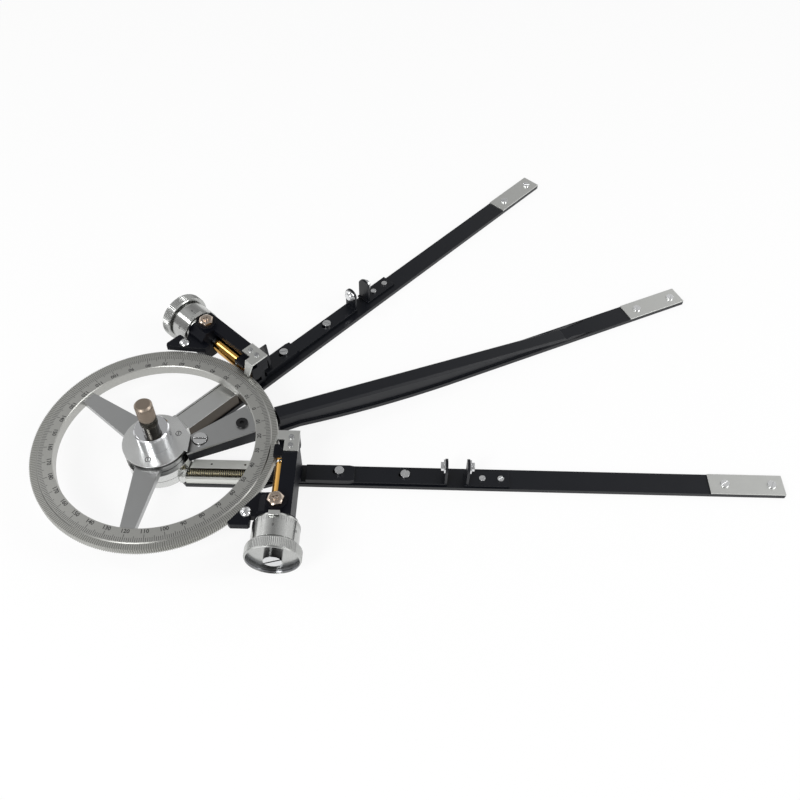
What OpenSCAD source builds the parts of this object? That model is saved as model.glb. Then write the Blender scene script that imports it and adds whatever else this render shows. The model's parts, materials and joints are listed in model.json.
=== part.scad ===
// Three-arm protractor (station pointer): a graduated circle on three supports, a fixed middle arm and
// two swinging arms, each with a worm and graduated drum that its release slide lifts off the circle.
// Millimetres, +Z up. The origin is the pricking point: the hub axis at chart level.
// The reading edge of the fixed arm runs along +X.

/* [Circle] */
// radius over the teeth of the rim
rim_r = 75; // [70:0.5:80]
// number of teeth round the rim, one for each degree
rim_teeth = 360; // [180:180:360]
// depth of one tooth
tooth_h = 0.8; // [0.6:0.05:0.9]
// height of the toothed band
rim_h = 5; // [4:0.25:5.5]
// thickness of the toothed band, from its seat to the tooth tips
band_t = 4; // [3:0.25:5]
// width of the graduated ring, from its inner edge to the band
face_w = 10; // [8:0.25:13]
// height of the graduated face above the chart
ring_top = 25; // [24.5:0.25:26]
// height of the inner wall of the graduated ring
ring_h = 7; // [6:0.25:7]
// drop of the shoulder outside the graduated face
shoulder = 0.5; // [0.2:0.1:0.8]

/* [Hub] */
// radius of the top disc and of both collars
disc_r = 20; // [18.5:0.25:20.5]
// radius of the post that the collars turn on
post_r = 9; // [7:0.25:10]
// height of each collar
collar_h = 5.8; // [5:0.1:5.8]
// radius of the hub casting that carries the spokes
hub_r = 17; // [15:0.25:18]
// width of a spoke at the hub
spoke_root = 15.5; // [12:0.5:18]
// width of a spoke at the ring
spoke_end = 8.5; // [6:0.5:11]
// thickness of a spoke
spoke_t = 4; // [3:0.25:5]
// radius of the polished boss
boss_r = 10.7; // [9:0.1:12]
// height of the polished boss
boss_h = 12.5; // [10:0.5:15]
// depth of the flat on the top disc
flat_in = 0.7; // [0.6:0.1:2]
// radius of the foot flange under the collars
foot_r = 14; // [11:0.25:15]

/* [Pricker] */
// radius of the guided stem
stem_r = 4.9; // [4:0.1:6]
// radius of the pricking pin
pin_r = 1.6; // [1.2:0.1:2]
// radius of the press knob
knob_r = 5.3; // [5:0.1:7]
// height of the press knob
knob_h = 18; // [12:0.5:20]
// travel of the pricker
prick = 4.5; // [3:0.25:4.5]

/* [Arms] */
// width of an arm bar
arm_w = 14.4; // [13.8:0.1:15.2]
// thickness of an arm bar
arm_t = 3; // [2.6:0.1:3]
// reach of the arms from the hub axis
arm_l = 392; // [360:1:420]
// length of the tip plates
tip_l = 47; // [40:1:55]
// thickness of the tip plates
tip_t = 0.8; // [0.6:0.1:1.2]
// distance where the stiffened part of the fixed arm ends
beam_l = 291; // [270:1:300]
// distance where the arched underside of the fixed arm meets the chart
arch_l = 195; // [180:1:215]
// width that the root plate of the fixed arm gains towards the ring
root_flare = 10.3; // [6:0.1:11]
// step of the beam above its bar on each side
beam_in = 1.5; // [1:0.1:2]
// angle of the right arm from the fixed arm, in degrees
right_angle = 25.5; // [20.5:1:110.5]
// angle of the left arm from the fixed arm, in degrees
left_angle = 22.5; // [20.5:1:110.5]

/* [Release slide] */
// travel of the slide
slide_go = 2.5; // [2:0.1:2.8]
// length of the spring channels
chan_l = 40; // [38:0.5:41]
// width of the groove that the spring lies in
groove_w = 6.7; // [6.3:0.1:7]
// thickness of the slide strip
slide_t = 2; // [1.6:0.1:2]
// width of the slide strip
slide_w = 10.2; // [9:0.1:10.4]
// extra height of the wide part of the slide
pad_h = 2.4; // [1.5:0.1:3]
// offset of the left slide from the middle of its arm
slide_off = 2.8; // [2:0.1:3]
// distance of the finger tab of the slide
tab_x = 180; // [176:0.5:182]
// distance of the fixed finger tab
stop_x = 193.5; // [191:0.5:196]
// height of the finger tabs above the chart
tab_h = 22; // [18:0.5:23]

/* [Spring] */
// mean radius of the return spring
coil_r = 1.7; // [1.5:0.05:1.9]
// radius of the spring wire
wire_r = 0.4; // [0.3:0.05:0.5]
// curls of the return spring
curls = 25; // [18:1:26]

/* [Worm and drum] */
// height of the worm axis above the chart
worm_z = 22; // [21.75:0.05:22.25]
// radius over the worm thread
worm_r = 5.5; // [5.2:0.05:5.6]
// depth of engagement of the worm in the rim
mesh = 0.45; // [0.35:0.05:0.5]
// radius of the worm shaft
shaft_r = 2.5; // [2:0.1:2.8]
// radial clearance of every running bearing
run_gap = 0.05; // [0.03:0.01:0.08]
// radius of the graduated drum
drum_r = 14; // [13:0.1:14.4]
// length of the graduated drum
drum_l = 14.5; // [13:0.25:18]
// radius of the knurled flange
flange_r = 16.2; // [15.5:0.1:17]
// width of the knurled flange
flange_l = 7.4; // [6.4:0.2:8.4]
// depth of the dished end of the flange
dish_d = 3.4; // [3:0.1:5]
// wall of the flange round its dish
brim_t = 0.8; // [0.6:0.1:2]
// height of the end screw above the brim
screw_up = 0.6; // [0:0.1:1]

/* [Housing] */
// width of the housing roof from its open side to its back
box_w = 8.9; // [7.9:0.1:9.4]
// top of the housing above the chart
box_top = 34; // [33:0.25:36]
// thickness of the housing roof
roof_t = 4.5; // [3.5:0.25:5]
// length of the housing from the reading edge to the drum end
box_l = 54.3; // [53:0.1:56]
// thickness of the index plate
index_t = 1; // [0.8:0.1:1.4]

/* [Hidden] */
$fn = 96;

// circle
seat_r = rim_r - band_t;
ring_r = seat_r - face_w;
ring_bot = ring_top - ring_h;
rim_top = ring_top - shoulder;
rim_bot = rim_top - rim_h;
step_deg = 360 / rim_teeth;
pitch = rim_r * PI / 180 * step_deg;
// hub stack, from the chart upwards
lift = 0.3;
foot_h = arm_t;
right_z = foot_h + lift;
left_z = right_z + collar_h + lift;
hub_z = left_z + collar_h + lift;
spoke_top = ring_top - 1.4;
disc_top = spoke_top + 2.4;
boss_top = disc_top + boss_h;
flat_turn = 12;
flat_half = 25;
lobe_turn = -46;
knob_z = boss_top + prick + 0.7;
// fixed arm
beam_top = hub_z + 5.1;
plate_t = 1.5;
lug_x = disc_r + 0.7;
bolt_1 = disc_r + 5.5;
bolt_2 = ring_r - 8;
bolt_y = 1 - arm_w / 2;
root_x = hub_r - 2;
root_y = -2.9;
beam_0 = hub_r - 1.8;
beam_x = rim_r + 0.6;
beam_z = rim_top - 1.1;
end_z = arm_t + 0.6;
slope = atan((beam_z - end_z) / (beam_l - beam_x));
arch_x = 88;
arch_z = 10.6;
arch_past = 8;
arch_cx = arch_l + arch_past;
arch_cz = ((arch_cx - arch_x) * (arch_cx - arch_x) + arch_z * arch_z - arch_past * arch_past) / (2 * arch_z);
arch_r = sqrt(arch_past * arch_past + arch_cz * arch_cz);
// swinging arms, in the frame of the right arm: reading edge on +X, body on the -Y side
mid = -arm_w / 2;
base_w = arm_w + 2;
bar_x = foot_r - 2.8;
chan_x0 = lug_x + 3.3;
chan_near = disc_r - 2;
chan_x1 = chan_x0 + chan_l;
chan_y0 = -base_w + 0.6;
chan_y1 = -1;
chan_low = 1.2;
groove_y = -7.4;
chan_mid = groove_y - groove_w / 2;
tongue_w = groove_w - 0.3;
left_line = mid - slide_off;
right_line = mid - 1;
tab_t = 1.6;
tab_r = 4.9;
button_h = 2.8;
stop_w = 5.4;
stop_xs = [stop_x + 8.7, stop_x + 20.3];
slide_z = arm_t + 0.1;
slide_top = slide_z + slide_t;
tongue_x = chan_x1 - 7;
pad_w = slide_w / 2 + 0.6;
guide_2 = 153.8;
guide_head = 2.9;
screw_r = 1.5;
fin_top = box_top - 6.8;
// spring
coil_z = arm_t + 4.2;
coil_x1 = tongue_x + 0.9;
lead_in = 2.2 * wire_r;
coil_p = (coil_x1 - chan_x0 - 2 * lead_in) / curls;
coil_gap = coil_p - 2 * wire_r;
curls_near = floor((coil_x1 - chan_near - 2 * lead_in) / coil_p);
// worm, drum and housing
worm_x = rim_r + worm_r - mesh;
wall_y = -0.4;
wall_o = 3.4;
foot_y = -2.5;
cap_y = wall_o - 0.8;
cap_r = worm_x - rim_r - 1.2;
shaft_y = cap_y - 1.1;
hood_y0 = -12.2;
hood_y1 = -3.9;
hood_in = rim_r + 2;
thread_y0 = wall_y - 0.6;
thread_y1 = -13;
block_y = -box_l + 13.8;
barrel_y = block_y + 3.5;
block_x = worm_x - 10.5;
back_x = worm_x + worm_r + 0.45;
back_t = 3;
box_x1 = back_x + back_t;
box_x0 = box_x1 - box_w;
pad_x0 = box_x1 + 3;
pad_x1 = pad_x0 + 30;
guide_1 = pad_x0 + 20.7;
nut_y = -box_l + 7.2;
pad_t = 2;
plate_r = drum_r - 1.6;
screw_x = box_x1 - 4.5;
screw_ys = [-7.5, -1.5];
hood_z = worm_z + worm_r + 0.5;
wing_x = rim_r - 12.7;
wing_y = -sqrt((rim_r + 4.95) * (rim_r + 4.95) - wing_x * wing_x);
wing_t = rim_h - 0.5;
wing_z = rim_top - 1.5;
drum_y = -box_l - 1.8;
drum_end = drum_y - drum_l - flange_l;
start = pitch * ((right_angle + 0.5) / step_deg - floor((right_angle + 0.5) / step_deg));
start_l = pitch * ((left_angle + 0.5) / step_deg - floor((left_angle + 0.5) / step_deg));

echo(spring_gap = coil_gap, worm_pitch = pitch);

// distance from the hub axis that keeps a plate clear of the rim at a given y
function rim_x(y) = sqrt((rim_r + 2.5) * (rim_r + 2.5) - y * y);

// a slotted screw: head from z = 0 upwards, shank below it
module screw(head_r, head_h, r, deep, slot = 0.7) {
  difference() {
    union() {
      cylinder(r = head_r, h = head_h);
      translate([0, 0, -deep]) cylinder(r = r, h = deep);
    }
    translate([-head_r - 1, -slot / 2, head_h * 0.5]) cube([2 * head_r + 2, slot, head_h]);
  }
}

// bar with straight sides from (x0, y0, z0) to (x1, y1, z1)
module block(x0, x1, y0, y1, z0, z1) {
  translate([x0, y0, z0]) cube([x1 - x0, y1 - y0, z1 - z0]);
}

module on_right() {
  rotate([0, 0, -right_angle]) children();
}

module on_left() {
  rotate([0, 0, left_angle]) mirror([0, 1, 0]) children();
}

// ring of one tooth for each step, ridges on whole steps
module rim_body() {
  difference() {
    translate([0, 0, rim_bot]) linear_extrude(rim_h) polygon([for (k = [0:2 * rim_teeth - 1])
      let (r = rim_r - (k % 2) * tooth_h, a = k * step_deg / 2) [r * cos(a), r * sin(a)]]);
    translate([0, 0, rim_bot - 1]) cylinder(r = seat_r, h = rim_h + 2);
  }
}

module limb_body() {
  rotate_extrude() polygon([[ring_r, ring_bot], [seat_r, ring_bot], [seat_r, rim_top],
    [seat_r - 0.6, ring_top], [ring_r + 0.4, ring_top], [ring_r, ring_top - 0.4]]);
}

module spoke(turn) {
  rotate([0, 0, turn]) translate([0, 0, spoke_top - spoke_t]) linear_extrude(spoke_t)
    polygon([[hub_r - 4, -spoke_root / 2], [hub_r + 3, -spoke_root / 2], [ring_r + 1, -spoke_end / 2],
      [ring_r + 1, spoke_end / 2], [hub_r + 3, spoke_root / 2], [hub_r - 4, spoke_root / 2]]);
}

module spider_body() {
  difference() {
    union() {
      translate([0, 0, hub_z]) cylinder(r = hub_r, h = spoke_top - hub_z);
      intersection() {
        union() {
          spoke(120);
          spoke(-120);
        }
        translate([0, 0, spoke_top - spoke_t - 1]) cylinder(r = ring_r, h = spoke_t + 2);
      }
    }
    translate([0, 0, hub_z - 1]) cylinder(r = post_r, h = ring_top);
  }
}

function polar(r, a) = [r * cos(a), r * sin(a)];

// disc with a flat towards the arms, whose corners stand a little past the circle
module disc_body() {
  flat_r = disc_r - flat_in;
  corner = flat_r / cos(flat_half);
  difference() {
    translate([0, 0, spoke_top]) linear_extrude(disc_top - spoke_top) union() {
      difference() {
        circle(r = disc_r);
        rotate(flat_turn) translate([flat_r, -disc_r]) square(2 * disc_r);
      }
      polygon([[0, 0], polar(disc_r + 2.2, lobe_turn), polar(corner, flat_turn - flat_half),
        polar(corner, flat_turn + flat_half)]);
    }
    translate([0, 0, spoke_top - 1]) cylinder(r = stem_r + run_gap, h = 10);
    for (a = [-122, -2, 118]) rotate([0, 0, a]) translate([0.72 * disc_r, 0, disc_top - 0.4])
      difference() {
        cylinder(r = 1.9, h = 1);
        translate([0, 0, -1]) cylinder(r = 1.4, h = 3);
      }
  }
}

module boss_body() {
  difference() {
    translate([0, 0, disc_top]) rotate_extrude() polygon([[0, 0], [boss_r, 0], [boss_r, boss_h - 0.8],
      [boss_r - 0.8, boss_h], [0, boss_h]]);
    translate([0, 0, disc_top - 1]) cylinder(r = stem_r + run_gap, h = boss_h + 2);
  }
}

module post_body() {
  difference() {
    translate([0, 0, 0.4]) cylinder(r = post_r, h = spoke_top - 0.4);
    translate([0, 0, -1]) cylinder(r = pin_r + run_gap, h = 40);
    translate([0, 0, spoke_top - 6]) cylinder(r = stem_r + run_gap, h = 20);
  }
}

module foot_body() {
  difference() {
    cylinder(r = foot_r, h = foot_h);
    translate([0, 0, -1]) cylinder(r = post_r, h = foot_h + 2);
    for (a = [0, 180]) rotate([0, 0, a]) translate([(foot_r + post_r) / 2, 0, -1])
      cylinder(r = 1, h = 2);
  }
}

// side view of the fixed arm, x outwards and y upwards
module beam_side() {
  polygon([[beam_0, hub_z - 1.7], [ring_r - 4, 11.2],
    [arch_x, arch_z], [arch_x, 0], [arm_l, 0], [arm_l, arm_t], [beam_l, arm_t], [beam_l, end_z],
    [beam_x, beam_z], [beam_x, ring_bot], [ring_r - 0.5, ring_bot], [ring_r - 0.5, beam_top],
    [beam_0, beam_top]]);
}

// space under the arch, or up to a height above it
module under(height) {
  difference() {
    block(arch_x, arch_l, -arm_w - 2, 2, -1, arch_z + arm_t + 1);
    translate([arch_cx, -arm_w - 3, arch_cz]) rotate([-90, 0, 0])
      cylinder(r = arch_r - height, h = arm_w + 6, $fn = 360);
  }
}

module beam_body() {
  difference() {
    rotate([90, 0, 0]) linear_extrude(arm_w) beam_side();
    under(0);
    for (y = [-arm_w - 1, -beam_in]) difference() {
      block(beam_x - 1, beam_l + 1, y, y + beam_in + 1, arm_t, 40);
      under(arm_t);
      block(beam_x - 2, arch_x, -arm_w - 2, 2, 0, arch_z + arm_t);
    }
    for (y = [-beam_in, -arm_w + beam_in]) translate([beam_x, y, beam_z]) rotate([0, slope, 0])
      rotate([45, 0, 0]) translate([-5, -1, -1]) cube([arm_l, 2, 2]);
    translate([0, 0, hub_z - 1]) cylinder(r = hub_r, h = 12);
    cylinder(r = lug_x, h = hub_z);
    difference() {
      translate([0, 0, ring_bot]) cylinder(r = rim_r + 0.5, h = 12);
      translate([0, 0, ring_bot - 1]) cylinder(r = ring_r - 0.3, h = 14);
    }
    translate([0, mid, 0]) tip_holes();
    root_holes();
  }
}

module root_body() {
  difference() {
    translate([0, 0, beam_top]) linear_extrude(plate_t) polygon([[root_x, -arm_w - 0.2],
      [ring_r + 2, -arm_w - 0.2], [ring_r + 2, root_y + root_flare], [root_x, root_y]]);
    translate([0, 0, beam_top - 1]) cylinder(r = hub_r, h = 4);
    difference() {
      translate([0, 0, beam_top - 1]) cylinder(r = ring_r + 30, h = 4);
      translate([0, 0, beam_top - 2]) cylinder(r = ring_r, h = 6);
    }
    root_holes();
  }
}

module root_holes() {
  for (at = [[bolt_1, mid], [bolt_2, bolt_y]]) translate([at[0], at[1], beam_top - 5]) cylinder(r = 2, h = 9);
}

module root_screw_body() {
  translate([bolt_1, mid, beam_top + plate_t]) rotate([0, 0, -25]) screw(4.4, 1.2, 2, plate_t + 4.5, 1);
}

module root_bolt_body() {
  translate([bolt_2, bolt_y, beam_top + plate_t]) difference() {
    union() {
      cylinder(r = 3.8, h = 1.4);
      translate([0, 0, -plate_t - 4.5]) cylinder(r = 2, h = plate_t + 4.5);
    }
    translate([0, 0, 0.3]) cylinder(r = 1.7, h = 3, $fn = 6);
  }
}

module tip_holes() {
  for (x = [arm_l - 37, arm_l - 7.5]) translate([x, 0, -1]) cylinder(r = 1.2, h = 20);
}

// the plate at the end of an arm, reading edge on +X
module tip_body() {
  difference() {
    block(arm_l - tip_l, arm_l, -arm_w, 0, arm_t, arm_t + tip_t);
    translate([0, mid, 0]) tip_holes();
  }
}

module tip_screws_body() {
  for (x = [arm_l - 37, arm_l - 7.5]) translate([x, mid, arm_t + tip_t]) rotate([0, 0, 40 + x])
    screw(2.7, 0.9, 1.2, arm_t + tip_t - 0.4);
}

module pricker_pin_body() {
  translate([0, 0, prick + 2.5]) cylinder(r = pin_r, h = boss_top - 4 - prick - 2.5);
  translate([0, 0, prick + 0.4]) cylinder(r1 = 0.2, r2 = pin_r, h = 2.1);
}

module pricker_knob_body() {
  difference() {
    translate([0, 0, boss_top - 6]) cylinder(r = stem_r, h = knob_z - boss_top + 6);
    translate([0, 0, boss_top - 7]) cylinder(r = pin_r, h = 3);
  }
  translate([0, 0, knob_z]) rotate_extrude() polygon([[0, 0], [knob_r - 0.6, 0], [knob_r, 0.6],
    [knob_r, knob_h - 1.2], [knob_r - 1.2, knob_h], [0, knob_h]]);
}

// one unbroken tube along a list of points, six sides, closed at both ends
module tube(path, r) {
  n = len(path);
  dir = [for (i = [0:n - 1]) path[min(i + 1, n - 1)] - path[max(i - 1, 0)]];
  pts = [for (i = [0:n - 1])
    let (d = dir[i] / norm(dir[i]), s = cross(d, [0.13, 0.31, 1]), u = s / norm(s), v = cross(d, u))
    for (k = [0:5]) path[i] + r * (cos(60 * k) * u + sin(60 * k) * v)];
  side = [for (i = [0:n - 2], k = [0:5])
    let (a = 6 * i + k, b = 6 * i + (k + 1) % 6)
    for (h = [0, 1]) h == 0 ? [a, b + 6, b] : [a, a + 6, b + 6]];
  ends = [for (k = [1:4]) for (h = [0, 1]) h == 0 ? [0, k, k + 1]
    : [6 * n - 6, 6 * n - 6 + k + 1, 6 * n - 6 + k]];
  polyhedron(points = pts, faces = concat(side, ends));
}

function ease(t) = t <= 0 ? 0 : t >= 1 ? 1 : t * t * (3 - 2 * t);

// spring path: straight on the axis at each end, then a coil of constant lead along x
function coil_path(x0, x1, lead, turns, r) = concat([[x0, 0, 0]],
  [for (i = [0:8 * turns]) let (t = i / 8, g = r * ease(min(t, turns - t) / 0.75), a = 360 * t)
    [x0 + lead + (x1 - x0 - 2 * lead) * t / turns, g * cos(a), g * sin(a)]], [[x1, 0, 0]]);

module pricker_spring_body() {
  translate([0, 0, spoke_top - 5.9]) rotate([0, -90, 0])
    tube(coil_ring(boss_top - spoke_top - 0.3, 6), 0.4);
}

// open coil of constant radius round the pin, flat ended
function coil_ring(l, turns) = [for (i = [0:8 * turns]) let (t = i / 8)
  [0.4 + (l - 0.8) * t / turns, 3.4 * cos(360 * t), 3.4 * sin(360 * t)]];

module bar_body(line, guide) {
  difference() {
    linear_extrude(arm_t) polygon([[bar_x, 0], [arm_l, 0], [arm_l, -arm_w], [chan_x1 + 8, -arm_w],
      [chan_x1 + 2, -base_w], [bar_x + 6, -base_w], [bar_x, -base_w + 6]]);
    translate([0, 0, -1]) cylinder(r = foot_r + 1, h = 9);
    translate([0, mid, 0]) tip_holes();
    for (x = [guide_1, guide_2]) translate([x, guide, -1]) cylinder(r = screw_r, h = 9);
    for (x = stop_xs) translate([x, line, -1]) cylinder(r = 1, h = 9);
  }
}

// ring on the post with the lug that carries the arm
module collar_body(z, x0) {
  difference() {
    union() {
      translate([0, 0, z]) cylinder(r = disc_r, h = collar_h);
      block(disc_r - 6, x0, -base_w + 1, -1, z, z + collar_h);
      difference() {
        block(disc_r - 6, x0, -base_w + 1, -1, arm_t, z + collar_h);
        cylinder(r = lug_x, h = 40);
      }
    }
    cylinder(r = post_r + run_gap, h = 40);
  }
}

// spring channel up to a height; a roof closes it, and without one the spring shows
module channel_body(x0, top, roof) {
  high = roof > 0 ? top - roof : top + 1;
  difference() {
    block(x0, chan_x1, chan_y0, chan_y1, arm_t, top);
    cylinder(r = lug_x, h = top + 1);
    block(x0 - 1, chan_x1 + 1, groove_y - groove_w, groove_y, arm_t + 1, high);
    block(tongue_x - 0.8, chan_x1 + 1, groove_y - groove_w, groove_y, arm_t - 1, arm_t + 2);
    if (roof > 0) block(x0 - 1, chan_x1 + 1, chan_y0 + 1.2, chan_y0 + 1.8, top - 0.5, top + 1);
    else for (x = [chan_x0 + 8.5, chan_x0 + 29.5]) translate([x, groove_y / 2 - 0.5, top - 0.8])
      cylinder(r = 0.7, h = 2);
  }
}

module spring_body(x0, turns) {
  translate([0, chan_mid, coil_z]) tube(coil_path(x0, coil_x1, lead_in, turns, coil_r), wire_r);
}

module guide_screws_body(guide) {
  translate([guide_1, guide, slide_top + pad_h + 0.15]) rotate([0, 0, 35])
    screw(guide_head, 1.7, screw_r, slide_top + pad_h - 0.3, 0.9);
  translate([guide_2, guide, slide_top + 0.15]) rotate([0, 0, 70])
    screw(guide_head, 1.7, screw_r, slide_top - 0.3, 0.9);
}

// upright finger tab with a round top, its outer face at x, and a stepped button on one side of it
module tab(x, z, line, way) {
  translate([x, line, 0]) rotate([90, 0, -90]) linear_extrude(tab_t) union() {
    translate([-tab_r, z]) square([2 * tab_r, tab_h - tab_r - z]);
    translate([0, tab_h - tab_r]) circle(r = tab_r);
  }
  translate([way > 0 ? x : x - tab_t, line, tab_h - tab_r]) rotate([0, 90 * way, 0]) {
    translate([0, 0, -0.2]) cylinder(r = tab_r - 0.5, h = 1.2);
    cylinder(r = tab_r - 2.1, h = button_h);
  }
}

module slot(x, guide) {
  for (d = [-slide_go, 0]) translate([x + d, guide, 0]) cylinder(r = screw_r + 0.2, h = 20);
  block(x - slide_go, x, guide - screw_r - 0.2, guide + screw_r + 0.2, 0, 20);
}

module slide_body(line, guide) {
  difference() {
    union() {
      translate([0, 0, slide_z]) linear_extrude(slide_t) polygon([[tongue_x, chan_mid - tongue_w / 2],
        [chan_x1 + 4, chan_mid - tongue_w / 2], [chan_x1 + 6, line - pad_w], [pad_x1 - 3, line - pad_w],
        [pad_x1, line - slide_w / 2], [tab_x, line - slide_w / 2], [tab_x, line + slide_w / 2],
        [pad_x1, line + slide_w / 2], [pad_x1 - 3, line + pad_w], [chan_x1 + 6, line + pad_w],
        [chan_x1 + 4, chan_mid + tongue_w / 2], [tongue_x, chan_mid + tongue_w / 2]]);
      translate([0, 0, slide_top]) linear_extrude(pad_h) polygon([[pad_x0, line - pad_w],
        [pad_x1 - 3, line - pad_w], [pad_x1, line - slide_w / 2], [pad_x1, line + slide_w / 2],
        [pad_x1 - 3, line + pad_w], [pad_x0, line + pad_w]]);
      translate([tongue_x + 2.2, chan_mid, slide_z]) cylinder(r = 1.3, h = coil_z + 2 - slide_z);
      tab(tab_x, slide_z, line, -1);
    }
    slot(guide_1, guide);
    slot(guide_2, guide);
  }
}

// upright plate on the left slide behind its housing, with one corner cut away
module fin_body() {
  translate([pad_x0 + 7, left_line, 0]) rotate([90, 0, -90]) linear_extrude(2)
    polygon([[-3.5, slide_top], [-0.3, fin_top], [0.6, fin_top], [pad_w, fin_top - 6.5], [pad_w, slide_top]]);
}

module stop_body(line) {
  difference() {
    union() {
      translate([0, 0, arm_t]) linear_extrude(1.5) polygon([[stop_x - 2.6, line - stop_w],
        [stop_x + 25.5, line - stop_w], [stop_x + 25.5, line + stop_w], [stop_x - 2.6, line + stop_w]]);
      tab(stop_x, arm_t, line, 1);
    }
    for (x = stop_xs) translate([x, line, 0]) cylinder(r = 1, h = 20);
  }
}

module stop_screws_body(line) {
  for (x = stop_xs) translate([x, line, arm_t + 1.5]) rotate([0, 0, x])
    screw(2, 0.9, 1, arm_t + 1, 0.6);
}

// open-sided box on the slide: foot, back, roof, end cap, hood and bearing block
module housing_body() {
  difference() {
    union() {
      block(worm_x - 4, box_x1, -arm_w + 0.6, foot_y, slide_top, slide_top + 3);
      block(back_x, box_x1, -arm_w, foot_y, slide_top, box_top);
      block(back_x, box_x1, -box_l, -arm_w + 1, worm_z - 11, box_top);
      block(box_x0, box_x1, -box_l, wall_o, box_top - roof_t, box_top);
      block(worm_x - cap_r, box_x1, wall_y, cap_y, worm_z, box_top - roof_t);
      translate([worm_x, cap_y, worm_z]) rotate([90, 0, 0]) cylinder(r = cap_r, h = cap_y - wall_y);
      block(rim_r - 1, box_x1, hood_y0, hood_y1, hood_z, box_top - roof_t + 1);
      block(hood_in, box_x1, hood_y1 - 1, wall_y + 0.1, hood_z, box_top - roof_t + 1);
      block(block_x, box_x1, -box_l, block_y, worm_z - 11, box_top);
      translate([worm_x, nut_y, box_top - 1]) cylinder(r = 6, h = pad_t + 1);
      translate([worm_x, -box_l + 1.2, worm_z]) rotate([90, 0, 0]) cylinder(r = plate_r, h = 1.2);
    }
    translate([worm_x, shaft_y + 0.3, worm_z]) rotate([90, 0, 0])
      cylinder(r = shaft_r + run_gap, h = box_l + wall_o);
    translate([worm_x, nut_y, box_top - roof_t]) cylinder(r = 2, h = 9);
    for (y = screw_ys) translate([screw_x, y, box_top - 3]) cylinder(r = 0.9, h = 9);
    translate([block_x, -box_l + 1.2, box_top]) rotate([-90, 0, 0]) rotate([0, 0, 45])
      translate([-3, -3, 0]) cube([6, 6, box_l + block_y]);
  }
}

// plate beside the rim
module wing_body() {
  top_y = block_y + 4;
  low_y = wing_y - 7;
  difference() {
    translate([0, 0, wing_z]) linear_extrude(wing_t) polygon([[block_x, block_y], [block_x + 3, block_y],
      [block_x + 3, top_y], [rim_x(top_y), top_y], [rim_x(low_y), low_y], [rim_x(low_y) + 1.5, low_y - 1.5],
      [rim_r - 11, low_y - 1.5], [rim_r - 10, low_y - 0.5], [rim_r - 10, -box_l + 1.4],
      [block_x, -box_l + 1.4]]);
    translate([wing_x, wing_y, wing_z - 1]) cylinder(r = 1.8, h = 12);
  }
}

module wing_screw_body() {
  translate([wing_x, wing_y, wing_z + wing_t]) difference() {
    union() {
      intersection() {
        translate([0, 0, -2.4]) sphere(r = 4.6);
        cylinder(r = 3.4, h = 4);
      }
      translate([0, 0, -3.6]) cylinder(r = 1.8, h = 3.6);
    }
    rotate([0, 0, 60]) translate([-6, -0.5, 1.1]) cube([12, 1, 4]);
  }
}

// index plate on the roof, with the folded tongue that reaches down to the graduated face
module index_body() {
  fold = rim_r + 1.2;
  reach = fold - (rim_r - 2.2);
  drop = box_top + index_t - ring_top - 1;
  tilt = atan(drop / reach);
  long = drop / sin(tilt);
  difference() {
    union() {
      block(box_x0 + 0.4, box_x1 + 0.4, -11.5, wall_o, box_top, box_top + index_t);
      block(fold, box_x0 + 1, -3.4, wall_o, box_top, box_top + index_t);
      translate([fold, 0, box_top + index_t]) rotate([0, 180 - tilt, 0])
        linear_extrude(index_t) polygon([[0, -3.4], [0, wall_o], [long, 2.2], [long, -2]]);
    }
    for (y = screw_ys) translate([screw_x, y, box_top - 1]) cylinder(r = 0.9, h = 9);
  }
}

module index_screws_body() {
  for (y = screw_ys) translate([screw_x, y, box_top + index_t]) rotate([0, 0, 15 * y])
    screw(1.7, 0.8, 0.9, index_t + 2.5, 0.5);
}

module lock_nut_body() {
  translate([worm_x, nut_y, box_top + pad_t]) {
    rotate([0, 0, 15]) difference() {
      intersection() {
        cylinder(r = 5, h = 3.4, $fn = 6);
        translate([0, 0, -4]) sphere(r = 8.2);
      }
      translate([0, 0, -1]) cylinder(r = 2, h = 9);
    }
    translate([0, 0, -pad_t - roof_t + 0.5]) difference() {
      cylinder(r = 2, h = pad_t + roof_t + 4);
      for (a = [20, 110]) rotate([0, 0, a]) translate([-3, -0.35, pad_t + roof_t + 3]) cube([6, 0.7, 2]);
    }
  }
}

// fixed disc behind the drum with the tab that the drum is read against
module drum_index_body() {
  translate([worm_x, -box_l, worm_z]) rotate([90, 0, 0]) difference() {
    union() {
      cylinder(r = drum_r - 1, h = 1.4);
      translate([-3.2, drum_r - 4, 0]) cube([6.4, 5.5, 1.4]);
      translate([-3.2, drum_r + 0.5, 0]) cube([6.4, 1, 2.9]);
    }
    translate([0, 0, -1]) cylinder(r = shaft_r + 0.6, h = 4);
  }
}

module shaft_body() {
  long = shaft_y - drum_end - dish_d;
  translate([worm_x, shaft_y, worm_z]) rotate([90, 0, 0]) difference() {
    union() {
      cylinder(r = shaft_r, h = long);
      translate([0, 0, shaft_y - barrel_y]) cylinder(r = 4, h = barrel_y - block_y - 0.3);
    }
    translate([0, 0, long - 6]) cylinder(r = 1.2, h = 9);
  }
}

module worm_body() {
  translate([worm_x, thread_y1, worm_z]) rotate([90, 0, 0]) difference() {
    cylinder(r = worm_r - 0.1, h = thread_y1 - barrel_y);
    translate([0, 0, -1]) cylinder(r = shaft_r, h = 60);
  }
}

function wave(s) = abs(1 - 2 * (s - floor(s)));

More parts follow.
